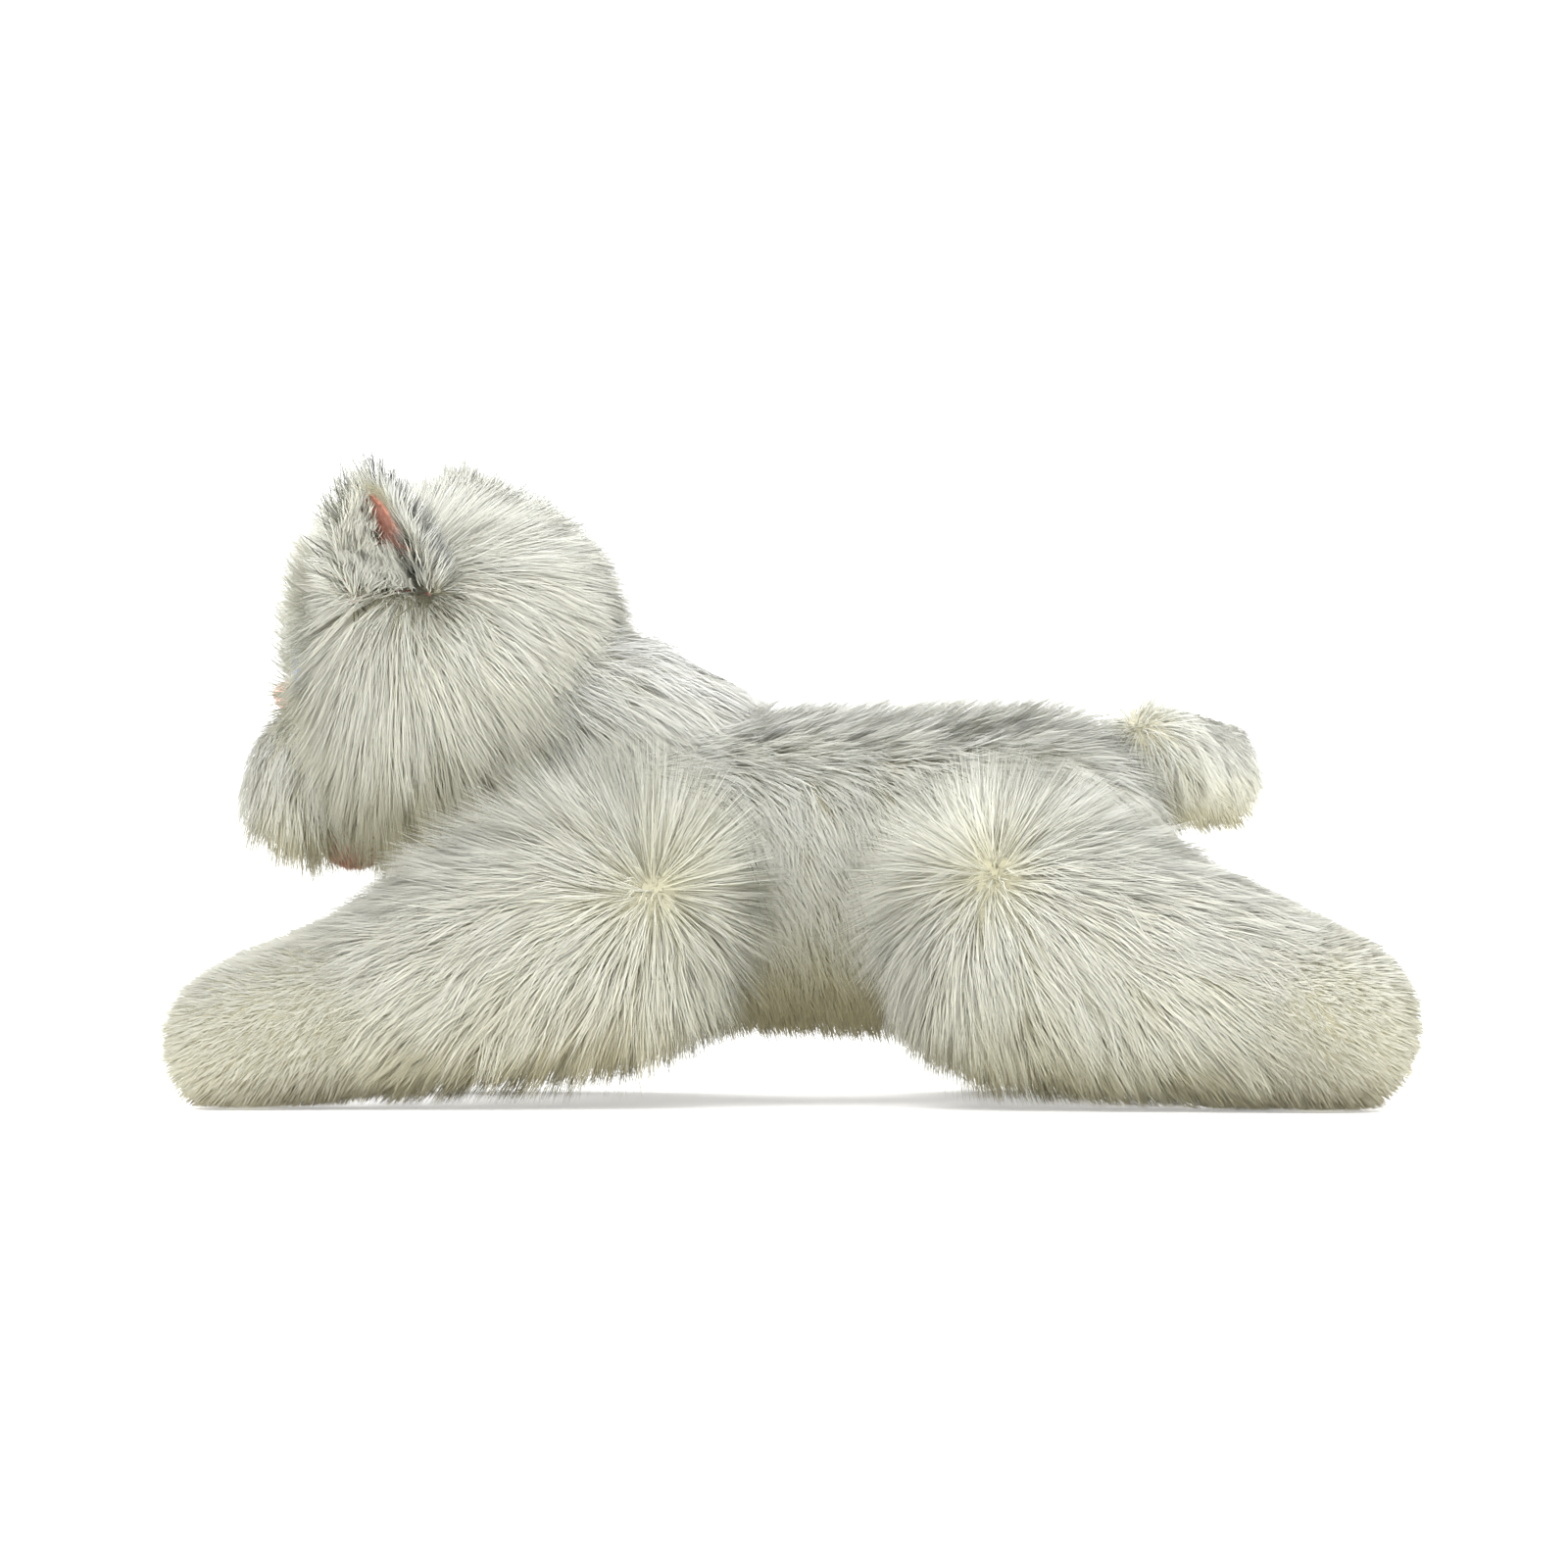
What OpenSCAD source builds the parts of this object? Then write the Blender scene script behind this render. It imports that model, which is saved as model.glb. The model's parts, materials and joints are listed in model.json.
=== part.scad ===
// Plush long-haired cat lying on its belly: sewn covers, fibre stuffing and pellet bags.
// The nose points along -X, the cat's left side is -Y, and it rests on the plane z = 0.
// Every cover's outer face is the dense part of its pile; loose hair tips stand proud of it.

/* [Torso] */
// Height of the torso's centreline above the surface it lies on
torso_z = 57; // [55:0.5:59]
// Radius over the chest
chest_r = 33; // [31:0.5:33]
// Radius over the rump
rump_r = 34; // [33:0.5:35]
// Place of the chest's centre along the cat
chest_x = -26; // [-28:0.5:-24]
// Place of the rump's centre along the cat
rump_x = 57; // [56:0.5:60]
// Half the width of the belly panel
belly_half = 17; // [12:1:20]

/* [Neck and head] */
// Place of the neck along the cat
neck_x = -40; // [-42:0.5:-38]
// Height of the neck's centre
neck_z = 90; // [89:0.5:92]
// Radius of the neck ball
neck_r = 22; // [20:0.5:23]
// Radius of the skull
skull_r = 38; // [36:0.5:38.5]
// How far the skull's centre is in front of the neck
skull_ahead = 42; // [41:0.5:44]
// How far the skull's centre is above the neck
skull_above = 16; // [15:0.5:18]
// How far the head is turned to the cat's right, in degrees
head_turn = 14; // [0:1:16]
// Half the width of the panel that runs from the nose over the crown to the nape
gusset_half = 13; // [10:1:16]
// Radius of each muzzle pad
pad_r = 13; // [12:0.5:13.5]
// Diameter of an eye
eye_d = 13; // [11:0.5:14]

/* [Ears] */
// Width of an ear at its base
ear_w = 28; // [22:1:30]
// Height of an ear
ear_h = 33; // [28:1:34]

/* [Legs] */
// Radius of a front leg at the shoulder
shoulder_r = 27; // [25:0.5:27.5]
// Radius of a front paw
front_paw_r = 18; // [16:0.5:19]
// Radius of a hind leg at the hip
hip_r = 30; // [28:0.5:30.5]
// Radius of a hind paw
hind_paw_r = 22; // [20:0.5:22.5]
// Distance from the shoulder to the long fur's end on a front leg
front_cuff = 55; // [50:1:60]
// Distance from the hip to the long fur's end on a hind leg
hind_cuff = 60; // [55:1:64]

/* [Tail] */
// Radius at the tail's root
tail_root_r = 12; // [11:0.5:13]
// Radius at the tail's end
tail_end_r = 9; // [8:0.5:10]

/* [Fabric] */
// Thickness of a fur cover with its dense pile
wall = 3; // [2.5:0.1:3.5]
// Gap left between soft pieces that lie against each other
gap = 0.4; // [0.3:0.05:0.5]

/* [Hidden] */
$fn = 64;
arc_steps = 14;
left = -1;
right = 1;
far = 400;
inside = wall + gap;
socket_room = 1.8;
thin_wall = wall - 0.5;
thin_inside = thin_wall + gap;

white_fur = [0.93, 0.91, 0.84];
short_fur = [0.91, 0.90, 0.84];
fibre = [0.97, 0.97, 0.97];
bag_cloth = [0.80, 0.78, 0.72];
pink_plush = [0.93, 0.66, 0.58];
eye_blue = [0.25, 0.50, 0.75];
washer_grey = [0.75, 0.75, 0.76];

shoulder = [-44, 40, 42];
front_foot = [-130, 50, 16.5];
hip = [56, 47, 40];
hind_foot = [126, 66, 20.5];
neck = [neck_x, 0, neck_z];
tail_root = [88, 0, 84.5];
tail_end = [104, 34, 82];
skull = [-skull_ahead, 0, skull_above];
pad_spread = 8.5;
pad = skull + [-36, 0, -24];
chin = skull + [-26, 0, -41.5];
chin_r = 9;
nose_r = 4.2;
nose_climb = 66.4; // degrees up round the front of the muzzle
nose_tip = pad + (pad_r + nose_r + gap) * [-cos(nose_climb), 0, sin(nose_climb)];
eye_side = 25;
eye_up = -2;
eye_seat = 0.5;
eye_rise = 2.6;
shank_r = 1.6;
shank_fit = 0.1;
shank_reach = 9;
washer_r = 6.5;
washer_t = 1.6;
washer_depth = 2;
pocket_depth = 12;
ear_base = [-6, 31, 20];
ear_yaw = 66;
ear_lean_out = 18;
ear_lean_forward = 12;
ear_dish_r = 22;
ear_back_t = 2.2;
ear_lining_t = 1.2;
lining_gap = 0.2;
hem = 3;
ear_sink = 4;
ear_front = -8;
ear_depth = 18;
ear_room = 1.5;
ear_fall = 1.7;
ear_blunt = 0.8;
ear_steps = 10;
belly_top = torso_z - 20;
pellet_z = torso_z - 13;
pellet_r = 10;
pellet_front = -22;
pellet_back = 38;
wad_share = 0.6;
bag_overlap = 4;

// A round-ended taper's half outline: the hull of a circle of radius r0 at the origin and one of
// radius r1 at height len, as [radius, height] points.
function taper_points(r0, r1, len) =
    let (lean = asin((r0 - r1) / len))
    concat(
        [for (i = [0:arc_steps]) let (a = 180 - i * (90 + lean) / arc_steps)
            [r0 * sin(a), r0 * cos(a)]],
        [for (i = [0:arc_steps]) let (a = (90 - lean) * (1 - i / arc_steps))
            [r1 * sin(a), len + r1 * cos(a)]]
    );

// The outline of an ear: width falls to a soft tip.
function ear_points(w, h) =
    concat(
        [for (i = [0:ear_steps]) let (t = i / ear_steps)
            [w / 2 * pow(1 - pow(t, ear_fall), ear_blunt), h * t]],
        [for (i = [1:ear_steps]) let (t = 1 - i / ear_steps)
            [-w / 2 * pow(1 - pow(t, ear_fall), ear_blunt), h * t]]
    );

module taper_outline(r0, r1, len, take = 0) {
    polygon(taper_points(r0 - take, r1 - take, len));
}

// The part of an outline between two heights.
module between(low, high) {
    intersection() {
        children();
        translate([0, low]) square([far, high - low]);
    }
}

// Stands its children, made along +Z from the origin, on point p and turns them towards q.
module along(p, q) {
    d = q - p;
    translate(p) rotate([0, acos(d[2] / norm(d)), atan2(d[1], d[0])]) children();
}

module above_ground() {
    difference() {
        children();
        translate([-far, -far, -far]) cube([2 * far, 2 * far, far]);
    }
}

module on_side(side) { mirror([0, side == left ? 1 : 0, 0]) children(); }

module side_half(side, from) {
    intersection() {
        children();
        translate([-far, side == left ? -far : from, -far]) cube([2 * far, far - from, 2 * far]);
    }
}

module middle_band(half) {
    intersection() {
        children();
        translate([-far, -half, -far]) cube([2 * far, 2 * half, 2 * far]);
    }
}

// ---- torso ----

// Hollows in the torso for everything that is sewn to it, as balls grown by grow.
module torso_sockets(grow) {
    for (side = [left, right]) on_side(side) {
        translate(shoulder) sphere(r = shoulder_r + socket_room + grow);
        translate(hip) sphere(r = hip_r + socket_room + grow);
    }
    translate(neck) sphere(r = neck_r + grow);
    translate(tail_root) sphere(r = tail_root_r + socket_room + grow);
}

module torso_form(take) {
    difference() {
        along([rump_x, 0, torso_z], [chest_x, 0, torso_z])
            rotate_extrude() taper_outline(rump_r, chest_r, rump_x - chest_x, take);
        torso_sockets(gap + take);
    }
}

module torso_shell() {
    difference() {
        torso_form(0);
        torso_form(wall);
    }
}

module belly_region() {
    translate([-far, -belly_half, -far]) cube([2 * far, 2 * belly_half, far + belly_top]);
}

module torso_panel(side) {
    color(white_fur) difference() {
        side_half(side, 0) torso_shell();
        belly_region();
    }
}

module belly_panel() {
    color(white_fur) intersection() {
        torso_shell();
        belly_region();
    }
}

module torso_stuffing() {
    color(fibre) difference() {
        torso_form(inside);
        pellet_form(gap);
    }
}

module pellet_form(grow) {
    along([pellet_back, 0, pellet_z], [pellet_front, 0, pellet_z])
        rotate_extrude() taper_outline(pellet_r, pellet_r - 1, pellet_back - pellet_front, -grow);
}

module torso_pellet_bag() { color(bag_cloth) pellet_form(0); }

// ---- neck ----

module neck_ruff() {
    color(white_fur) translate(neck) difference() {
        sphere(r = neck_r);
        sphere(r = neck_r - wall);
    }
}

module neck_stuffing() { color(fibre) translate(neck) sphere(r = neck_r - inside); }

// ---- head: everything here is drawn from the neck, then turned with it ----

module head_place() { translate(neck) rotate([0, 0, -head_turn]) children(); }

module head_form(take) {
    difference() {
        translate(skull) sphere(r = skull_r - take);
        sphere(r = neck_r + gap + take);
    }
}

// Draws along the eye's own axis: +Z points out of the face.
module eye_place(side) {
    on_side(side) translate(skull) rotate([0, -90 + eye_up, 0]) rotate([-eye_side, 0, 0]) children();
}

module eye_holes() {
    for (side = [left, right]) eye_place(side)
        translate([0, 0, skull_r - pocket_depth]) cylinder(r = shank_r + shank_fit, h = 2 * pocket_depth);
}

module washer_pockets() {
    for (side = [left, right]) eye_place(side)
        translate([0, 0, skull_r - wall - pocket_depth])
            cylinder(r = washer_r + gap, h = 2 * pocket_depth);
}

module head_shell() {
    difference() {
        head_form(0);
        head_form(wall);
        eye_holes();
    }
}

module head_side_panel(side) {
    color(white_fur) head_place() side_half(side, gusset_half) head_shell();
}

module head_gusset() { color(white_fur) head_place() middle_band(gusset_half) head_shell(); }

module head_stuffing() {
    color(fibre) head_place() difference() {
        head_form(inside);
        washer_pockets();
    }
}

// The two pads lie side by side, as one round-ended roll across the face.
module muzzle_roll(take) {
    along(pad - [0, pad_spread, 0], pad + [0, pad_spread, 0])
        rotate_extrude() taper_outline(pad_r, pad_r, 2 * pad_spread, take);
}

module muzzle_form(take) {
    difference() {
        muzzle_roll(take);
        translate(skull) sphere(r = skull_r + gap + take);
    }
}

module muzzle_cover() {
    color(white_fur) head_place() difference() {
        muzzle_form(0);
        muzzle_form(thin_wall);
    }
}

module muzzle_stuffing() { color(fibre) head_place() muzzle_form(thin_inside); }

module chin_lip() {
    color(pink_plush) head_place() difference() {
        translate(chin) sphere(r = chin_r);
        translate(skull) sphere(r = skull_r + gap);
        muzzle_roll(-gap);
    }
}

module nose() { color(pink_plush) head_place() translate(nose_tip) sphere(r = nose_r); }

// A domed plastic eye on a shank that passes through the cover.
module eye(side) {
    rim = eye_d / 2;
    dome_r = (rim * rim + eye_rise * eye_rise) / (2 * eye_rise);
    color(eye_blue) head_place() eye_place(side) {
        translate([0, 0, skull_r + eye_seat]) intersection() {
            translate([0, 0, eye_rise - dome_r]) sphere(r = dome_r);
            cylinder(r = eye_d, h = eye_d);
        }
        translate([0, 0, skull_r - wall - shank_reach])
            cylinder(r = shank_r, h = wall + shank_reach + eye_seat + eye_rise / 2);
    }
}

module eye_washer(side) {
    color(washer_grey) head_place() eye_place(side)
        translate([0, 0, skull_r - wall - washer_depth - washer_t]) difference() {
            cylinder(r = washer_r, h = washer_t);
            translate([0, 0, -washer_t]) cylinder(r = shank_r + shank_fit / 2, h = 3 * washer_t);
        }
}

// ---- ears: +X is the way the cup opens, +Z runs up to the tip ----

module ear_place(side) {
    head_place() translate(skull) on_side(side)
        translate(ear_base) rotate([-ear_lean_out, -ear_lean_forward, 0]) rotate([0, 0, 180 - ear_yaw])
            children();
}

// One curved sheet of the ear: a slice of a tube, cut to the ear's outline.
module ear_sheet(outer, thick, w, h) {
    intersection() {
        translate([ear_dish_r - 1, 0, -ear_sink]) difference() {
            cylinder(r = outer, h = 2 * h);
            translate([0, 0, -1]) cylinder(r = outer - thick, h = 2 * h + 2);
        }
        translate([ear_front, 0, -ear_sink]) rotate([90, 0, 90])
            linear_extrude(ear_depth) polygon(ear_points(w, h));
    }
}

// The sheet in its place, with its lower edge shaped to the skull.
module ear_layer(side, outer, thick, w, h) {
    difference() {
        ear_place(side) ear_sheet(outer, thick, w, h);
        head_place() translate(skull) sphere(r = skull_r + ear_room);
    }
}

module ear_back(side) { color(white_fur) ear_layer(side, ear_dish_r, ear_back_t, ear_w, ear_h); }

module ear_lining(side) {
    color(pink_plush)
        ear_layer(side, ear_dish_r - ear_back_t - lining_gap, ear_lining_t, ear_w - hem - 1, ear_h - hem);
}

// ---- legs ----

// One layer of a leg, turned about its own line from root to foot.
module leg_layer(side, root, foot) {
    on_side(side) above_ground() along(root, foot) rotate_extrude() children();
}

module leg_shell(r0, r1, len) {
    difference() {
        taper_outline(r0, r1, len);
        taper_outline(r0, r1, len, wall);
    }
}

// The long-haired cover, from the root to the cuff.
module leg_upper(side, root, foot, r0, r1, cuff) {
    color(white_fur) leg_layer(side, root, foot)
        between(-far, cuff) leg_shell(r0, r1, norm(foot - root));
}

// The short-haired paw, from the cuff to the tip.
module leg_paw(side, root, foot, r0, r1, cuff) {
    color(short_fur) leg_layer(side, root, foot)
        between(cuff, far) leg_shell(r0, r1, norm(foot - root));
}

// Fibre between the root wad and the pellet bag.
module leg_stuffing(side, root, foot, r0, r1, cuff) {
    color(fibre) leg_layer(side, root, foot) between(r0 * wad_share, cuff - bag_overlap) difference() {
        taper_outline(r0, r1, norm(foot - root), inside);
        circle(r = r0 - wall);
    }
}

module leg_pellet_bag(side, root, foot, r0, r1, cuff) {
    color(bag_cloth) leg_layer(side, root, foot)
        between(cuff - bag_overlap + gap, far) taper_outline(r0, r1, norm(foot - root), inside);
}

// The ball of fibre at the leg's root that the leg turns about.
module root_wad(side, root, r0) {
    color(fibre) on_side(side) translate(root) sphere(r = r0 - inside);
}

module front_sleeve(side) {
    leg_upper(side, shoulder, front_foot, shoulder_r, front_paw_r, front_cuff);
}
module front_paw(side) {
    leg_paw(side, shoulder, front_foot, shoulder_r, front_paw_r, front_cuff);
}
module front_stuffing(side) {
    leg_stuffing(side, shoulder, front_foot, shoulder_r, front_paw_r, front_cuff);
}
module front_bag(side) {
    leg_pellet_bag(side, shoulder, front_foot, shoulder_r, front_paw_r, front_cuff);
}
module hind_thigh(side) {
    leg_upper(side, hip, hind_foot, hip_r, hind_paw_r, hind_cuff);
}
module hind_paw(side) {
    leg_paw(side, hip, hind_foot, hip_r, hind_paw_r, hind_cuff);
}
module hind_stuffing(side) {
    leg_stuffing(side, hip, hind_foot, hip_r, hind_paw_r, hind_cuff);
}
module hind_bag(side) {
    leg_pellet_bag(side, hip, hind_foot, hip_r, hind_paw_r, hind_cuff);
}

// ---- tail ----

module tail_outline(take) { taper_outline(tail_root_r, tail_end_r, norm(tail_end - tail_root), take); }

module tail_cover() {
    color(white_fur) along(tail_root, tail_end) rotate_extrude() difference() {
        tail_outline(0);
        tail_outline(thin_wall);
    }
}

module tail_stuffing() {
    color(fibre) along(tail_root, tail_end) rotate_extrude()
        between(tail_root_r * wad_share, far) difference() {
            tail_outline(thin_inside);
            circle(r = tail_root_r - wall);
        }
}

module tail_root_wad() { color(fibre) translate(tail_root) sphere(r = tail_root_r - inside); }

torso_panel(left);  // torso_left_panel
torso_panel(right);  // torso_right_panel
belly_panel();
torso_stuffing();
torso_pellet_bag();
neck_ruff();
neck_stuffing();
head_side_panel(left);  // head_left_panel
head_side_panel(right);  // head_right_panel
head_gusset();
head_stuffing();
muzzle_cover();
muzzle_stuffing();
chin_lip();
nose();
eye(left);  // left_eye
eye(right);  // right_eye
eye_washer(left);  // left_eye_washer
eye_washer(right);  // right_eye_washer
ear_back(left);  // left_ear_back
ear_lining(left);  // left_ear_lining
ear_back(right);  // right_ear_back
ear_lining(right);  // right_ear_lining
front_sleeve(left);  // front_left_sleeve
front_paw(left);  // front_left_paw
front_stuffing(left);  // front_left_stuffing
front_bag(left);  // front_left_pellet_bag
root_wad(left, shoulder, shoulder_r);  // front_left_root_wad
front_sleeve(right);  // front_right_sleeve
front_paw(right);  // front_right_paw
front_stuffing(right);  // front_right_stuffing
front_bag(right);  // front_right_pellet_bag
root_wad(right, shoulder, shoulder_r);  // front_right_root_wad
hind_thigh(left);  // hind_left_thigh
hind_paw(left);  // hind_left_paw
hind_stuffing(left);  // hind_left_stuffing
hind_bag(left);  // hind_left_pellet_bag
root_wad(left, hip, hip_r);  // hind_left_root_wad
hind_thigh(right);  // hind_right_thigh
hind_paw(right);  // hind_right_paw
hind_stuffing(right);  // hind_right_stuffing
hind_bag(right);  // hind_right_pellet_bag
root_wad(right, hip, hip_r);  // hind_right_root_wad
tail_cover();
tail_stuffing();
tail_root_wad();
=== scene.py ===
import json
import math

import bmesh
import bpy
import numpy as np
from mathutils import Matrix, Vector


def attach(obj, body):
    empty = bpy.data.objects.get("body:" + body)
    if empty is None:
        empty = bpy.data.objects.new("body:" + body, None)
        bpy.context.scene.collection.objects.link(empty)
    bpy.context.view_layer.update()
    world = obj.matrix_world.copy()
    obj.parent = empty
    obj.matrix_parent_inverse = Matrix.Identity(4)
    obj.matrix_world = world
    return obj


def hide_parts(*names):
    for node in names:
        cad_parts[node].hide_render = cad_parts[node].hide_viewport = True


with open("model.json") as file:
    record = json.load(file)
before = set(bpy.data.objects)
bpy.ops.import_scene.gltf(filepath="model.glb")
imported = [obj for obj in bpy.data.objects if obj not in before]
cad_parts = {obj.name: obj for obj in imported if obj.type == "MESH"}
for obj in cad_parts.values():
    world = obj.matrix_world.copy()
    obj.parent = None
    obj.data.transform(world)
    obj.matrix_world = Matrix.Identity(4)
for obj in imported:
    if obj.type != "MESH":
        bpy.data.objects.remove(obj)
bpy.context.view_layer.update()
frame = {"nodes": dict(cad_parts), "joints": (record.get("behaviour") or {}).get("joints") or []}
scene = bpy.context.scene
joints = {joint["name"]: joint for joint in frame["joints"]}
sides = {"left": -1, "right": 1}    # the cat's left side is -Y
coverWall = 0.0034                  # cover and its gap round the stuffing
squareCm = 1e-4
print("frame loaded")


# Small tools

def unit(v):
    v = np.asarray(v, float)
    return v / np.maximum(np.linalg.norm(v, axis=-1, keepdims=True), 1e-9)


def blendTo(low, high, x):    # 0 below low, 1 above high, smooth between
    t = np.clip((x - low) / (high - low), 0, 1)
    return t * t * (3 - 2 * t)


def meshPoints(mesh):
    flat = np.empty(len(mesh.vertices) * 3, np.float32)
    mesh.vertices.foreach_get("co", flat)
    return flat.reshape(-1, 3).astype(float)


def meshNormals(mesh):
    flat = np.empty(len(mesh.vertices) * 3, np.float32)
    mesh.vertex_normals.foreach_get("vector", flat)
    return flat.reshape(-1, 3).astype(float)


def setPoints(mesh, points):
    mesh.vertices.foreach_set("co", points.astype(np.float32).ravel())
    mesh.update()


def nodePoints(name):
    return meshPoints(frame["nodes"][name].data)


def newObject(name, mesh):
    made = bpy.data.objects.new(name, mesh)
    scene.collection.objects.link(made)
    return made


def frozen(obj):    # what the modifiers make of an object, as a plain mesh
    bpy.context.view_layer.update()
    ready = obj.evaluated_get(bpy.context.evaluated_depsgraph_get())
    mesh = bpy.data.meshes.new_from_object(ready)
    obj.modifiers.clear()
    return mesh


def smoothShade(mesh):
    mesh.polygons.foreach_set("use_smooth", [True] * len(mesh.polygons))


def setAttribute(mesh, name, kind, values):
    layer = mesh.attributes.get(name) or mesh.attributes.new(name, kind, "POINT")
    key = "vector" if kind == "FLOAT_VECTOR" else "value"
    layer.data.foreach_set(key, np.asarray(values, np.float32).ravel())


def linear(red, green, blue):    # screen colour to the shader's linear colour
    def one(c):
        return c / 12.92 if c <= 0.04045 else ((c + 0.055) / 1.055) ** 2.4
    return (one(red), one(green), one(blue), 1.0)


# Materials

def newMaterial(name):
    made = bpy.data.materials.new(name)
    made.use_nodes = True
    tree = made.node_tree
    return made, tree, tree.nodes["Principled BSDF"]


def addRamp(tree, factor, stops):
    ramp = tree.nodes.new("ShaderNodeValToRGB")
    elements = ramp.color_ramp.elements
    while len(elements) < len(stops):
        elements.new(0.5)
    for element, (place, colour) in zip(elements, stops):
        element.position = place
        element.color = linear(*colour)
    tree.links.new(factor, ramp.inputs["Fac"])
    return ramp.outputs["Color"]


def furMaterial(name, rootStops, tipStops, settings):
    # Across the UV map runs a strand's own tone, and up it the way from root to tip.
    made, tree, shader = newMaterial(name)
    uv = tree.nodes.new("ShaderNodeUVMap")
    uv.uv_map = "OFBake"
    split = tree.nodes.new("ShaderNodeSeparateXYZ")
    tree.links.new(uv.outputs["UV"], split.inputs[0])
    # The root ramp is darker and warmer than the tip ramp: partly the fibre's own colour, partly painted
    # shade deep in the pile. The straw-coloured low end of both ramps is painted shade for the low tones
    # that pile facing down is given.
    rootColour = addRamp(tree, split.outputs["X"], rootStops)
    tipColour = addRamp(tree, split.outputs["X"], tipStops)
    along = tree.nodes.new("ShaderNodeMapRange")
    along.interpolation_type = "SMOOTHSTEP"
    along.inputs["From Min"].default_value = settings["rootEnds"]
    along.inputs["From Max"].default_value = settings["tipStarts"]
    tree.links.new(split.outputs["Y"], along.inputs["Value"])
    mix = tree.nodes.new("ShaderNodeMix")
    mix.data_type = "RGBA"
    tree.links.new(along.outputs["Result"], mix.inputs["Factor"])
    tree.links.new(rootColour, mix.inputs[6])
    tree.links.new(tipColour, mix.inputs[7])
    tree.links.new(mix.outputs[2], shader.inputs["Base Color"])
    shader.inputs["Roughness"].default_value = settings["roughness"]
    shader.inputs["Specular IOR Level"].default_value = settings["specular"]
    shader.inputs["Sheen Weight"].default_value = settings["sheen"]
    shader.inputs["Sheen Roughness"].default_value = 0.45
    # Some of the light passes through a strand.
    through = tree.nodes.new("ShaderNodeBsdfTranslucent")
    tree.links.new(mix.outputs[2], through.inputs["Color"])
    both = tree.nodes.new("ShaderNodeMixShader")
    both.inputs["Fac"].default_value = settings["through"]
    tree.links.new(shader.outputs["BSDF"], both.inputs[1])
    tree.links.new(through.outputs["BSDF"], both.inputs[2])
    tree.links.new(both.outputs["Shader"], tree.nodes["Material Output"].inputs["Surface"])
    return made


def clothMaterial(name, stops, settings):
    # Knitted backing, velour or wadding: mottled colour and a fine bump, in the object's own space.
    made, tree, shader = newMaterial(name)
    place = tree.nodes.new("ShaderNodeTexCoord")
    mottle = tree.nodes.new("ShaderNodeTexNoise")
    mottle.inputs["Scale"].default_value = settings["mottleScale"]
    mottle.inputs["Detail"].default_value = 4
    grain = tree.nodes.new("ShaderNodeTexNoise")
    grain.inputs["Scale"].default_value = settings["grainScale"]
    grain.inputs["Detail"].default_value = 6
    for noise in (mottle, grain):
        tree.links.new(place.outputs["Object"], noise.inputs["Vector"])
    tree.links.new(addRamp(tree, mottle.outputs["Fac"], stops), shader.inputs["Base Color"])
    bump = tree.nodes.new("ShaderNodeBump")
    bump.inputs["Strength"].default_value = settings["bump"]
    bump.inputs["Distance"].default_value = settings["bumpDepth"]
    tree.links.new(grain.outputs["Fac"], bump.inputs["Height"])
    tree.links.new(bump.outputs["Normal"], shader.inputs["Normal"])
    shader.inputs["Roughness"].default_value = settings["roughness"]
    shader.inputs["Sheen Weight"].default_value = settings["sheen"]
    return made


longPile = furMaterial(
    "longPile",
    [(0.0, (0.66, 0.61, 0.43)), (0.5, (0.90, 0.885, 0.76)), (1.0, (0.95, 0.95, 0.90))],
    [(0.0, (0.80, 0.77, 0.62)), (0.5, (0.95, 0.945, 0.87)), (1.0, (0.975, 0.98, 0.965))],
    {"rootEnds": 0.0, "tipStarts": 0.6, "roughness": 0.55, "specular": 0.0, "sheen": 0.0, "through": 0.45})
shortPile = furMaterial(
    "shortPile",
    [(0.0, (0.66, 0.62, 0.48)), (0.5, (0.88, 0.865, 0.76)), (1.0, (0.94, 0.94, 0.89))],
    [(0.0, (0.80, 0.77, 0.65)), (0.5, (0.94, 0.935, 0.87)), (1.0, (0.97, 0.975, 0.96))],
    {"rootEnds": 0.0, "tipStarts": 0.7, "roughness": 0.6, "specular": 0.0, "sheen": 0.0, "through": 0.45})
pinkPile = furMaterial(
    "pinkPile",
    [(0.0, (0.40, 0.24, 0.18)), (0.5, (0.72, 0.44, 0.34)), (1.0, (0.88, 0.60, 0.48))],
    [(0.0, (0.60, 0.38, 0.29)), (0.5, (0.90, 0.63, 0.52)), (1.0, (0.96, 0.78, 0.68))],
    {"rootEnds": 0.0, "tipStarts": 0.8, "roughness": 0.65, "specular": 0.2, "sheen": 0.3, "through": 0.25})
# The knit backing is cream, painted darker so that where it shows between strands it passes for the shade
# deep in the pile.
shadedBacking = clothMaterial(
    "shadedKnitBacking",
    [(0.3, (0.66, 0.645, 0.54)), (0.7, (0.73, 0.715, 0.62))],
    {"mottleScale": 60, "grainScale": 900, "bump": 0.5, "bumpDepth": 0.001, "roughness": 0.9,
     "sheen": 0.2})
pinkVelour = clothMaterial(
    "pinkVelour",
    [(0.3, (0.80, 0.50, 0.42)), (0.7, (0.90, 0.64, 0.55))],
    {"mottleScale": 90, "grainScale": 1400, "bump": 0.6, "bumpDepth": 0.0006, "roughness": 0.75,
     "sheen": 0.5})
wadding = clothMaterial(
    "fibreWadding",
    [(0.3, (0.90, 0.90, 0.89)), (0.7, (0.98, 0.98, 0.98))],
    {"mottleScale": 120, "grainScale": 500, "bump": 1.0, "bumpDepth": 0.002, "roughness": 0.95,
     "sheen": 0.3})
bagCloth = clothMaterial(
    "bagCloth",
    [(0.3, (0.78, 0.76, 0.69)), (0.7, (0.85, 0.83, 0.77))],
    {"mottleScale": 200, "grainScale": 1800, "bump": 0.5, "bumpDepth": 0.0005, "roughness": 0.85,
     "sheen": 0.1})
print("materials made")


# Soft forms: a chain of balls, made one skin and filled under pressure

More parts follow.
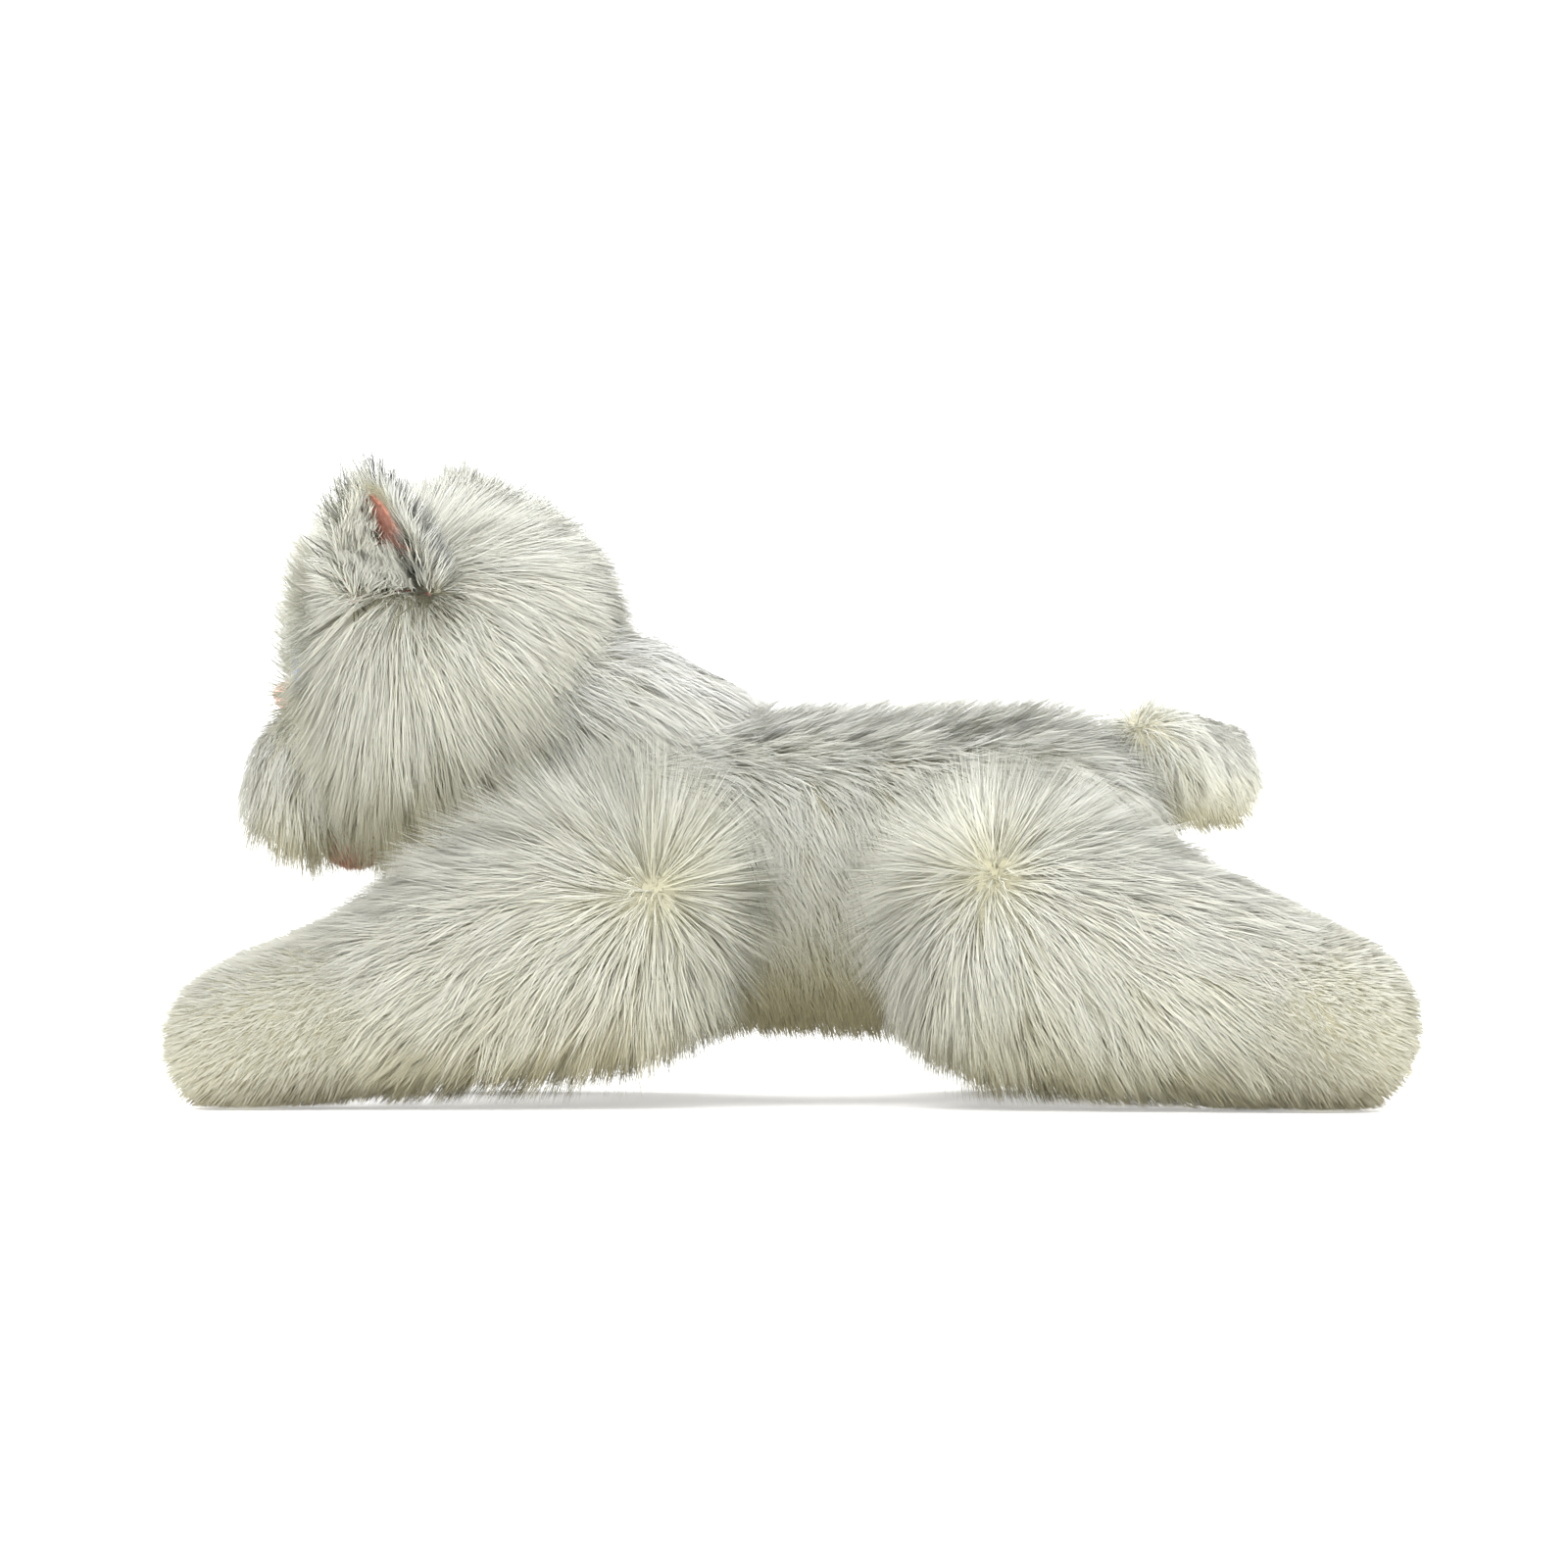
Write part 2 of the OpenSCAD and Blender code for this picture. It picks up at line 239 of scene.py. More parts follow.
def ballChain(name, balls, voxel=0.0042, steps=9):
    form = bmesh.new()
    for (a, radiusA), (b, radiusB) in zip(balls, balls[1:]):
        for i in range(steps + 1):
            t = i / steps
            centre = Vector(np.asarray(a) * (1 - t) + np.asarray(b) * t)
            radius = radiusA * (1 - t) + radiusB * t
            place = Matrix.Translation(centre)
            bmesh.ops.create_icosphere(form, subdivisions=3, radius=radius, matrix=place)
    mesh = bpy.data.meshes.new(name)
    form.to_mesh(mesh)
    form.free()
    obj = newObject(name, mesh)
    remesh = obj.modifiers.new("Remesh", "REMESH")
    remesh.mode = "VOXEL"
    remesh.voxel_size = voxel
    smooth = obj.modifiers.new("Smooth", "SMOOTH")
    smooth.factor = 0.5
    smooth.iterations = 6
    obj.data = frozen(obj)
    obj.data.name = name
    smoothShade(obj.data)
    return obj


def plump(obj, pressure, cap, frames=12):    # fills the skin, as stuffing does
    rest = meshPoints(obj.data)
    cloth = obj.modifiers.new("Cloth", "CLOTH")
    cloth.settings.use_pressure = True
    cloth.settings.uniform_pressure_force = pressure
    cloth.settings.effector_weights.gravity = 0
    cloth.settings.quality = 4
    cloth.point_cache.frame_start = 1
    cloth.point_cache.frame_end = frames
    for step in range(1, frames + 1):
        scene.frame_set(step)
    ready = obj.evaluated_get(bpy.context.evaluated_depsgraph_get())
    moved = meshPoints(ready.data) - rest
    obj.modifiers.remove(cloth)
    scene.frame_set(1)
    reach = np.linalg.norm(moved, axis=1, keepdims=True)
    setPoints(obj.data, rest + moved * np.minimum(1, cap / np.maximum(reach, 1e-9)))


def flatten(obj, floor=0.0006):    # a paw's underside is flat where it rests
    points = meshPoints(obj.data)
    points[:, 2] = np.maximum(points[:, 2], floor)
    setPoints(obj.data, points)


# Fur: one Geometry Nodes tree, grown on each skin from its painted attributes

def furTree(name, segments):
    tree = bpy.data.node_groups.new(name, "GeometryNodeTree")
    face = tree.interface
    face.new_socket(name="Geometry", in_out="INPUT", socket_type="NodeSocketGeometry")
    face.new_socket(name="Geometry", in_out="OUTPUT", socket_type="NodeSocketGeometry")
    for label, start in (("Density", 100.0), ("Lock Density", 10.0), ("Width", 0.0003), ("Flatness", 0.4),
                         ("Lock Pull", 0.6), ("Lock Stray", 0.3), ("Own Stray", 0.1), ("Swirl", 0.3),
                         ("Swirl Scale", 60.0), ("Wave", 0.0005), ("Droop", 0.2), ("Length Spread", 0.25),
                         ("Floor", 0.0004), ("Softness", 0.9)):
        face.new_socket(name=label, in_out="INPUT", socket_type="NodeSocketFloat").default_value = start
    for label in ("Seed", "Lock Seed"):
        face.new_socket(name=label, in_out="INPUT", socket_type="NodeSocketInt")
    face.new_socket(name="Material", in_out="INPUT", socket_type="NodeSocketMaterial")

    def node(kind, **settings):
        made = tree.nodes.new(kind)
        for key, value in settings.items():
            setattr(made, key, value)
        return made

    def feed(socket, value):
        if isinstance(value, bpy.types.NodeSocket):
            tree.links.new(value, socket)
        else:
            socket.default_value = value

    def calc(operation, *values):
        made = node("ShaderNodeMath", operation=operation)
        for socket, value in zip(made.inputs, values):
            feed(socket, value)
        return made.outputs[0]

    def vec(operation, *values):
        made = node("ShaderNodeVectorMath", operation=operation)
        slots = [made.inputs[0], made.inputs[3 if operation == "SCALE" else 1]]
        for socket, value in zip(slots, values):
            feed(socket, value)
        return made.outputs["Value" if operation in ("DOT_PRODUCT", "LENGTH") else "Vector"]

    def attribute(label, kind):
        made = node("GeometryNodeInputNamedAttribute", data_type=kind)
        made.inputs["Name"].default_value = label
        return made.outputs["Attribute"]

    def store(geometry, label, kind, value, domain="POINT"):
        made = node("GeometryNodeStoreNamedAttribute", data_type=kind, domain=domain)
        feed(made.inputs["Geometry"], geometry)
        made.inputs["Name"].default_value = label
        feed(made.inputs["Value"], value)
        return made.outputs["Geometry"]

    def randomVector(seed):    # each part from -1 to 1
        made = node("FunctionNodeRandomValue", data_type="FLOAT_VECTOR")
        made.inputs[0].default_value = (-1, -1, -1)
        made.inputs[1].default_value = (1, 1, 1)
        feed(made.inputs["Seed"], seed)
        return made.outputs[0]

    given = node("NodeGroupInput").outputs
    skin = given["Geometry"]

    def scatter(density, seed):
        made = node("GeometryNodeDistributePointsOnFaces")
        feed(made.inputs["Mesh"], skin)
        feed(made.inputs["Density"], density)
        feed(made.inputs["Seed"], seed)
        return made

    # Roots of the strands, and the middles of the locks that they gather into.
    roots = scatter(calc("MULTIPLY", given["Density"], attribute("cover", "FLOAT")), given["Seed"])
    locks = scatter(given["Lock Density"], given["Lock Seed"])
    place = node("GeometryNodeInputPosition").outputs[0]
    nearest = node("GeometryNodeSampleNearest", domain="POINT")
    feed(nearest.inputs["Geometry"], locks.outputs["Points"])

    def fromLock(value):
        made = node("GeometryNodeSampleIndex", data_type="FLOAT_VECTOR", domain="POINT")
        feed(made.inputs["Geometry"], locks.outputs["Points"])
        feed(made.inputs["Value"], value)
        feed(made.inputs["Index"], nearest.outputs["Index"])
        return made.outputs["Value"]

    lockPlace = fromLock(place)
    lockChance = fromLock(randomVector(given["Lock Seed"]))
    ownChance = randomVector(calc("ADD", given["Seed"], 1.0))
    otherChance = randomVector(calc("ADD", given["Seed"], 2.0))
    normal = roots.outputs["Normal"]
    swirl = node("ShaderNodeTexNoise")
    feed(swirl.inputs["Scale"], given["Swirl Scale"])
    feed(swirl.inputs["Vector"], place)
    swirled = vec("SCALE", vec("SUBTRACT", swirl.outputs["Color"], (0.5, 0.5, 0.5)), given["Swirl"])

    # Which way a strand lies, starts and ends.
    lean = vec("ADD", attribute("comb", "FLOAT_VECTOR"), swirled)
    lean = vec("ADD", lean, vec("SCALE", lockChance, given["Lock Stray"]))
    lean = vec("ADD", lean, vec("SCALE", ownChance, given["Own Stray"]))
    lean = vec("SUBTRACT", lean, vec("SCALE", normal, vec("DOT_PRODUCT", lean, normal)))
    lean = vec("NORMALIZE", lean)
    rise = attribute("rise", "FLOAT")
    start = vec("NORMALIZE", vec("ADD", vec("SCALE", normal, calc("ADD", rise, 0.35)), lean))
    droop = node("ShaderNodeCombineXYZ")
    feed(droop.inputs["Z"], calc("MULTIPLY", given["Droop"], -1.0))
    end = vec("ADD", vec("ADD", lean, vec("SCALE", normal, calc("SUBTRACT", rise, 0.3))), droop.outputs[0])
    end = vec("NORMALIZE", end)
    chance = node("ShaderNodeSeparateXYZ")
    feed(chance.inputs[0], otherChance)
    lockSplit = node("ShaderNodeSeparateXYZ")
    feed(lockSplit.inputs[0], lockChance)
    spread = calc("MULTIPLY", calc("ADD", chance.outputs["X"], lockSplit.outputs["X"]), 0.6)
    length = calc("MULTIPLY", attribute("pile", "FLOAT"),
                  calc("ADD", 1.0, calc("MULTIPLY", spread, given["Length Spread"])))
    flow = vec("NORMALIZE", vec("ADD", start, end))
    along = calc("MULTIPLY", vec("DOT_PRODUCT", normal, flow), 0.35)
    across = vec("NORMALIZE", vec("CROSS_PRODUCT", end, normal))
    width = calc("MULTIPLY", given["Width"], calc("ADD", 1.0, calc("MULTIPLY", chance.outputs["Y"], 0.35)))
    inward = vec("CROSS_PRODUCT", end, across)
    tone = calc("ADD", attribute("tone", "FLOAT"), calc("MULTIPLY", chance.outputs["Z"], 0.07))
    tone = calc("ADD", tone, calc("MULTIPLY", lockSplit.outputs["Y"], 0.07))
    tone = calc("MINIMUM", calc("MAXIMUM", tone, 0.03), 0.97)

    points = roots.outputs["Points"]
    for label, kind, value in (
            ("furRoot", "FLOAT_VECTOR", vec("SUBTRACT", place, vec("SCALE", normal, 0.0006))),
            ("furStart", "FLOAT_VECTOR", vec("SCALE", start, length)),
            ("furEnd", "FLOAT_VECTOR", vec("SCALE", end, length)),
            ("furPull", "FLOAT_VECTOR",
             vec("SCALE", vec("SUBTRACT", lockPlace, place), given["Lock Pull"])),
            ("furSide", "FLOAT_VECTOR", vec("SCALE", across, width)),
            ("furIn", "FLOAT_VECTOR", vec("SCALE", inward, calc("MULTIPLY", width, given["Flatness"]))),
            ("furWave", "FLOAT_VECTOR", vec("SCALE", across, given["Wave"])),
            ("furNormal", "FLOAT_VECTOR", vec("SUBTRACT", normal, vec("SCALE", flow, along))),
            ("furPhase", "FLOAT", calc("MULTIPLY", lockSplit.outputs["Z"], 3.0)),
            ("furTone", "FLOAT", tone)):
        points = store(points, label, kind, value)

    # One blade: a closed three-sided spike that keeps its own coordinates.
    spike = node("GeometryNodeMeshCone")
    for label, value in (("Vertices", 3), ("Side Segments", segments), ("Radius Top", 0.0),
                         ("Radius Bottom", 1.0), ("Depth", 1.0)):
        spike.inputs[label].default_value = value
    blade = store(spike.outputs["Mesh"], "furOwn", "FLOAT_VECTOR", place)
    instances = node("GeometryNodeInstanceOnPoints")
    feed(instances.inputs["Points"], points)
    feed(instances.inputs["Instance"], blade)
    realized = node("GeometryNodeRealizeInstances")
    feed(realized.inputs["Geometry"], instances.outputs["Instances"])

    # Bend every blade along its own path.
    own = node("ShaderNodeSeparateXYZ")
    feed(own.inputs[0], attribute("furOwn", "FLOAT_VECTOR"))
    t = own.outputs["Z"]
    halfSquare = calc("MULTIPLY", calc("MULTIPLY", t, t), 0.5)
    path = vec("ADD", attribute("furRoot", "FLOAT_VECTOR"),
               vec("SCALE", attribute("furStart", "FLOAT_VECTOR"), calc("SUBTRACT", t, halfSquare)))
    path = vec("ADD", path, vec("SCALE", attribute("furEnd", "FLOAT_VECTOR"), halfSquare))
    path = vec("ADD", path, vec("SCALE", attribute("furPull", "FLOAT_VECTOR"), calc("POWER", t, 1.3)))
    turn = calc("SINE", calc("ADD", calc("MULTIPLY", t, 4.5), attribute("furPhase", "FLOAT")))
    path = vec("ADD", path, vec("SCALE", attribute("furWave", "FLOAT_VECTOR"), calc("MULTIPLY", turn, t)))
    belly = calc("ADD", 1.0, calc("MULTIPLY", t, 0.9))    # a strand keeps its width past its middle
    for label, side in (("furSide", "X"), ("furIn", "Y")):
        reach = calc("MULTIPLY", own.outputs[side], belly)
        path = vec("ADD", path, vec("SCALE", attribute(label, "FLOAT_VECTOR"), reach))
    parts = node("ShaderNodeSeparateXYZ")
    feed(parts.inputs[0], path)
    kept = node("ShaderNodeCombineXYZ")
    feed(kept.inputs["X"], parts.outputs["X"])
    feed(kept.inputs["Y"], parts.outputs["Y"])
    feed(kept.inputs["Z"], calc("MAXIMUM", parts.outputs["Z"], given["Floor"]))
    bent = node("GeometryNodeSetPosition")
    feed(bent.inputs["Geometry"], realized.outputs["Geometry"])
    feed(bent.inputs["Position"], kept.outputs[0])

    uv = node("ShaderNodeCombineXYZ")
    feed(uv.inputs["X"],
         calc("ADD", attribute("furTone", "FLOAT"), calc("MULTIPLY", own.outputs["X"], 0.02)))
    feed(uv.inputs["Y"], calc("ADD", calc("MULTIPLY", t, 0.94), calc("MULTIPLY", own.outputs["Y"], 0.02)))
    mapped = store(bent.outputs["Geometry"], "OFBake", "FLOAT2", uv.outputs[0], "CORNER")
    # A strand takes most of its shading from the form it grows on, so the pile looks soft.
    shaded = node("GeometryNodeSetShadeSmooth")
    feed(shaded.inputs["Geometry"], mapped)
    facing = node("GeometryNodeInputNormal").outputs[0]
    soft = vec("ADD", vec("SCALE", attribute("furNormal", "FLOAT_VECTOR"), given["Softness"]),
               vec("SCALE", facing, calc("SUBTRACT", 1.0, given["Softness"])))
    softened = node("GeometryNodeSetMeshNormal", mode="FREE")
    feed(softened.inputs["Mesh"], shaded.outputs["Geometry"])
    feed(softened.inputs["Custom Normal"], vec("NORMALIZE", soft))
    lastRealize = node("GeometryNodeRealizeInstances")
    feed(lastRealize.inputs["Geometry"], softened.outputs["Mesh"])
    painted = node("GeometryNodeSetMaterial")
    feed(painted.inputs["Geometry"], lastRealize.outputs["Geometry"])
    feed(painted.inputs["Material"], given["Material"])
    feed(node("NodeGroupOutput").inputs["Geometry"], painted.outputs["Geometry"])
    return tree


furTrees = {segments: furTree(f"fur{segments}", segments) for segments in (1, 2)}
thinning = 1.0
strandTotal = {"strands": 0, "triangles": 0}

# Densities are for each square centimetre, and lengths in metres. A piece's own settings replace these.
undercoat = {
    "segments": 1, "density": 140, "locks": 12, "width": 0.00046, "flatness": 0.45, "pull": 0.2,
    "lockStray": 0.25, "ownStray": 0.25, "swirl": 0.7, "wave": 0.0, "droop": 0.1, "lengthSpread": 0.3,
    "material": longPile}
topcoat = {
    "segments": 2, "density": 80, "locks": 4, "width": 0.00035, "flatness": 0.45, "pull": 0.42,
    "lockStray": 0.28, "ownStray": 0.10, "swirl": 0.9, "wave": 0.0012, "droop": 0.25, "lengthSpread": 0.35,
    "material": longPile}
plush = {
    "segments": 1, "density": 500, "locks": 40, "width": 0.00046, "flatness": 0.8, "pull": 0.2,
    "lockStray": 0.2, "ownStray": 0.5, "swirl": 0.4, "wave": 0.0, "droop": 0.0, "lengthSpread": 0.3,
    "material": pinkPile}


def growFur(name, skin, body, kind, own):
    coat = {**kind, **own}
    tree = furTrees[coat["segments"]]
    grower = newObject(name, skin.data.copy())
    fur = grower.modifiers.new("Fur", "NODES")
    fur.node_group = tree
    names = {item.name: item.identifier for item in tree.interface.items_tree if item.in_out == "INPUT"}
    values = {
        "Density": coat["density"] / squareCm * thinning, "Lock Density": coat["locks"] / squareCm,
        "Width": coat["width"] / 2, "Flatness": coat["flatness"], "Lock Pull": coat["pull"],
        "Lock Stray": coat["lockStray"], "Own Stray": coat["ownStray"], "Swirl": coat["swirl"],
        "Swirl Scale": 70.0, "Wave": coat["wave"], "Droop": coat["droop"],
        "Length Spread": coat["lengthSpread"], "Floor": 0.0005, "Softness": 0.9,
        "Seed": coat["seed"], "Lock Seed": 5, "Material": coat["material"]}
    for label, value in values.items():
        fur[names[label]] = value
    mesh = frozen(grower)
    for layer in [layer.name for layer in mesh.attributes if layer.name.startswith("fur")]:
        mesh.attributes.remove(mesh.attributes[layer])
    mesh.name = name
    old = grower.data
    grower.data = mesh
    bpy.data.meshes.remove(old)
    count = len(mesh.vertices) // (3 * coat["segments"] + 1)
    strandTotal["strands"] += count
    strandTotal["triangles"] += count * (6 * coat["segments"] - 2)
    print(f"{name}: {count} strands, {count * (6 * coat['segments'] - 2)} triangles")
    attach(grower, body)


def growLongFur(name, skin, body, look):    # short strands close to the skin, and long ones over them
    growFur(f"{name}_undercoat", skin, body, undercoat, look["undercoat"])
    growFur(f"{name}_topcoat", skin, body, topcoat, look["topcoat"])


def paintSkin(obj, comb, pile, rise, tone, cover, whorls=()):    # each a function of points and normals
    mesh = obj.data
    points, normals = meshPoints(mesh), meshNormals(mesh)
    ones = np.ones(len(points))
    way = unit(comb(points, normals)) * ones[:, None]
    # Where the pile is combed away from the skin, it stands up along its comb, and so it does in a whorl.
    off = (way * normals).sum(axis=1)
    stand = np.clip(off, 0, 0.9)
    stand = stand / np.sqrt(1 - stand ** 2) + 0.9 * blendTo(0.80, 0.98, -off)
    for place, reach in whorls:
        stand = stand + 0.4 * np.exp(-(np.linalg.norm(points - place, axis=1) / reach) ** 2)
    setAttribute(mesh, "comb", "FLOAT_VECTOR", way)
    setAttribute(mesh, "pile", "FLOAT", pile(points, normals) * ones)
    setAttribute(mesh, "rise", "FLOAT", rise(points, normals) * ones + stand)
    # Pile that faces up is painted lighter and cooler, and pile that faces down darker and straw-coloured:
    # painted light from above and painted shade underneath.
    setAttribute(mesh, "tone", "FLOAT", tone(points, normals) * ones + 0.22 * normals[:, 2])
    setAttribute(mesh, "cover", "FLOAT", cover(points, normals) * ones)


def skinReady(obj, body, nodes, material):
    obj.data.materials.clear()
    obj.data.materials.append(material)
    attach(obj, body)
    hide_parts(*nodes)


def fan(points, hub):    # away from a whorl
    return unit(points - np.asarray(hub))


# The torso: back panels and belly panel over stuffing

torsoLook = {
    "backPile": 0.016, "sidePile": 0.014, "bellyPile": 0.011,
    "tone": 0.62, "bellyShadeTone": 0.20, "inset": -0.0005,
    "creaseDepth": 0.0022, "creaseWidth": 0.010, "creasesAt": (0.30, 0.47),
    "undercoat": {"seed": 11, "width": 0.00044, "lockStray": 0.22, "ownStray": 0.2, "swirl": 1.0,
                  "droop": 0.05, "lengthSpread": 0.25},
    "topcoat": {"seed": 12, "density": 66, "locks": 5, "pull": 0.35, "ownStray": 0.12, "swirl": 1.2,
                "wave": 0.0010, "droop": 0.12, "lengthSpread": 0.3},
    # How far each joint's limb, neck or tail hides the skin.
    "hidden": {"front_left_lift": 0.024, "front_right_lift": 0.024, "hind_left_lift": 0.027,
               "hind_right_lift": 0.027, "neck_turn": 0.019, "tail_lift": 0.009}}


def makeTorso():
    look = torsoLook
    outer = np.vstack([nodePoints("torso_left_panel"), nodePoints("torso_right_panel")])
    front, back = outer[np.argmin(outer[:, 0])], outer[np.argmax(outer[:, 0])]
    topAt = outer[:, 2].max()
    rumpRadius = topAt - back[2]
    chestRadius = rumpRadius * 0.97
    chest = np.array([front[0] + chestRadius, 0, front[2]])
    rump = np.array([back[0] - rumpRadius, 0, back[2]])
    inset = look["inset"]
    skin = ballChain("torso_skin", [(chest, chestRadius - inset), (rump, rumpRadius - inset)])
    plump(skin, 3.5, 0.003)
    points = meshPoints(skin.data)
    # The cloth creases between the shoulder's bulk and the hip's.
    long = back[0] - front[0]
    for share in look["creasesAt"]:
        at = front[0] + share * long
        lean = (points[:, 2] - front[2]) * 0.25
        dip = look["creaseDepth"] * np.exp(-((points[:, 0] - at - lean) / look["creaseWidth"]) ** 2)
        side = np.clip(np.abs(points[:, 1]) / rumpRadius, 0, 1) ** 2
        points[:, 1] -= np.sign(points[:, 1]) * dip * side
    setPoints(skin.data, points)

    def comb(p, n):
        top = blendTo(0.5, 0.95, n[:, 2])
        return np.stack([0.35 + 0.9 * top, 0.55 * np.sign(p[:, 1]) * top, -0.9 * np.ones(len(p))], axis=1)

    def pile(p, n):
        side = 1 - blendTo(0.3, 0.9, np.abs(n[:, 2]))
        value = look["backPile"] + (look["sidePile"] - look["backPile"]) * side
        return np.where(n[:, 2] < -0.5, look["bellyPile"], value)

    def tone(p, n):
        # The belly is painted darker and straw-coloured: painted shade underneath.
        low = 1 - blendTo(-0.7, 0.1, n[:, 2])
        return look["tone"] + (look["bellyShadeTone"] - look["tone"]) * low

    def cover(p, n):    # thin where the limbs and the neck cover the skin
        hidden = np.zeros(len(p))
        for name, radius in look["hidden"].items():
            away = np.linalg.norm(p - np.array(joints[name]["pos_m"]), axis=1)
            hidden = np.maximum(hidden, 1 - blendTo(radius, radius + 0.004, away))
        return 1 - hidden

    def rise(p, n):
        return 0.25 + 0.5 * blendTo(0.5, 0.9, np.abs(n[:, 2]))

    paintSkin(skin, comb, pile, rise, tone, cover)
    growLongFur("torso", skin, "torso", look)
    covers = ["torso_left_panel", "torso_right_panel", "belly_panel"]
    skinReady(skin, "torso", covers, shadedBacking)


# Legs: a long-haired sleeve or thigh, and a short-haired paw

legUndercoat = {"density": 105, "locks": 10, "width": 0.00048, "swirl": 0.9, "lengthSpread": 0.35}
legTopcoat = {"density": 66, "locks": 3.5, "width": 0.00036, "swirl": 1.0}
legLooks = {
    "front": {
        "cover": "sleeve", "footRadius": 0.018, "hub": (0.0165, 0.027, 0.013),
        "drift": (-0.25, 0.0, -0.35),
        "pile": 0.020, "crest": 0.004, "cuffPile": 0.016, "rise": 0.18, "tone": 0.55,
        "undercoat": {"seed": 31, **legUndercoat}, "topcoat": {"seed": 32, **legTopcoat}, "pawSeed": 33},
    "hind": {
        "cover": "thigh", "footRadius": 0.022, "hub": (-0.010, 0.032, 0.024), "drift": (0.45, 0.0, -0.55),
        "pile": 0.019, "crest": 0.0, "cuffPile": 0.015, "rise": 0.15, "tone": 0.58,
        "undercoat": {"seed": 41, **legUndercoat}, "topcoat": {"seed": 42, **legTopcoat}, "pawSeed": 43}}
pawLook = {
    "pile": 0.0052, "rise": 0.9, "tone": 0.50, "underShadeTone": 0.30,
    "coat": {"density": 240, "locks": 20, "width": 0.00052, "pull": 0.1, "ownStray": 0.35, "swirl": 0.6,
             "droop": 0.05, "lengthSpread": 0.35, "material": shortPile}}


def makeLeg(end, side):
    look = legLooks[end]
    sign = sides[side]
    prefix = f"{end}_{side}"
    body = f"{prefix}_leg"
    root = np.array(joints[f"{prefix}_lift"]["pos_m"])
    rootRadius = np.ptp(nodePoints(f"{prefix}_root_wad")[:, 2]) / 2 + coverWall
    bag = nodePoints(f"{prefix}_pellet_bag")
    tip = bag[np.argmax(np.abs(bag[:, 0]))]
    footRadius = look["footRadius"]
    foot = tip - np.array([np.sign(tip[0]) * (footRadius - coverWall), 0, 0])
    axis = foot - root
    length = np.linalg.norm(axis)
    cuff = (bag - root) @ axis / length
    cuffAt = (cuff.min() + 0.004) / length

    def ball(t, inset):
        return root + axis * t, rootRadius + (footRadius - rootRadius) * t - inset

    sleeve = ballChain(f"{prefix}_{look['cover']}_skin", [ball(0, 0.001), ball(cuffAt - 0.09, 0.001)])
    plump(sleeve, 3.5, 0.002)
    paw = ballChain(f"{prefix}_paw_skin", [ball(cuffAt - 0.06, 0.0012), ball(1, 0.0006)], voxel=0.0032)
    plump(paw, 2.5, 0.0012)
    flatten(sleeve)
    flatten(paw)
    outer = meshPoints(sleeve.data)
    hub = root + np.array(look["hub"]) * (1, sign, 1)
    hub = outer[np.argmin(np.linalg.norm(outer - hub, axis=1))]

    def along(p):
        return (p - root) @ axis / length ** 2

    def comb(p, n):    # from the whorl on the outer side, up over the top as well as down the leg
        flat = unit((p - hub) * (1, 0.1, 1))
        low = 1 - blendTo(-0.1, 0.7, n[:, 2])
        return flat + np.outer(low, look["drift"]) + np.array([0, 0.35 * sign, 0])

    def pile(p, n):
        reach = blendTo(0.2, cuffAt, along(p))
        value = look["pile"] + (look["cuffPile"] - look["pile"]) * reach
        value = value + look["crest"] * blendTo(0.3, 0.9, n[:, 2]) * (1 - blendTo(0.15, 0.5, along(p)))
        inner = blendTo(0.2, 0.9, -sign * n[:, 1])
        return value * (1 - 0.45 * inner) * (1 - 0.3 * blendTo(0.3, 0.9, -n[:, 2]))

    def tone(p, n):
        # Painted shade: darker underneath and on the inner side that faces the torso.
        return look["tone"] - 0.28 * blendTo(0.1, 0.9, -n[:, 2]) - 0.1 * blendTo(0.3, 0.9, -sign * n[:, 1])

    def cover(p, n):    # thin where the root lies in the torso
        inner = blendTo(0.55, 0.95, -sign * n[:, 1]) * (1 - blendTo(0.1, 0.4, along(p)))
        return 1 - 0.8 * inner

    paintSkin(sleeve, comb, pile, lambda p, n: look["rise"], tone, cover, [(hub, 0.008)])
    growLongFur(f"{prefix}_{look['cover']}", sleeve, body, look)

    def pawTone(p, n):
        # Painted shade: the paw's underside is darker.
        under = blendTo(0.4, 0.95, -n[:, 2])
        return pawLook["tone"] + (pawLook["underShadeTone"] - pawLook["tone"]) * under

    def pawCover(p, n):    # sparse where the paw stands on its sole, and none up inside the sleeve
        return np.where(p[:, 2] < 0.0015, 0.25, 1.0) * blendTo(cuffAt - 0.2, cuffAt - 0.1, along(p))

    paintSkin(
        paw, lambda p, n: unit(axis) * 0.9 + np.array([0, 0, -0.35]), lambda p, n: pawLook["pile"],
        lambda p, n: pawLook["rise"], pawTone, pawCover)
    pawCoat = {**pawLook["coat"], "seed": look["pawSeed"]}
    growFur(f"{prefix}_paw_pile", paw, body, plush, pawCoat)
    skinReady(sleeve, body, [f"{prefix}_{look['cover']}"], shadedBacking)
    skinReady(paw, body, [f"{prefix}_paw"], shadedBacking)


# Head, neck and muzzle, in the head's own directions

headAxis = np.array(joints["head_nod"]["axis"])           # towards the cat's right
headAhead = np.array([-headAxis[1], headAxis[0], 0.0])
neckAt = np.array(joints["neck_turn"]["pos_m"])
headCovers = ["head_left_panel", "head_right_panel", "head_gusset"]
skullPoints = np.vstack([nodePoints(name) for name in headCovers])
skullRadius = np.ptp(skullPoints[:, 2]) / 2
skullAt = np.array([skullPoints[:, 0].min() + skullRadius, skullPoints[:, 1].min() + skullRadius,
                    skullPoints[:, 2].min() + skullRadius])


def headPlace(ahead, across, up):
    return skullAt + headAhead * ahead + headAxis * across + np.array([0, 0, up])


def headParts(points):    # the same place as ahead, across and up
    away = points - skullAt
    return away @ headAhead, away @ headAxis, away[:, 2]


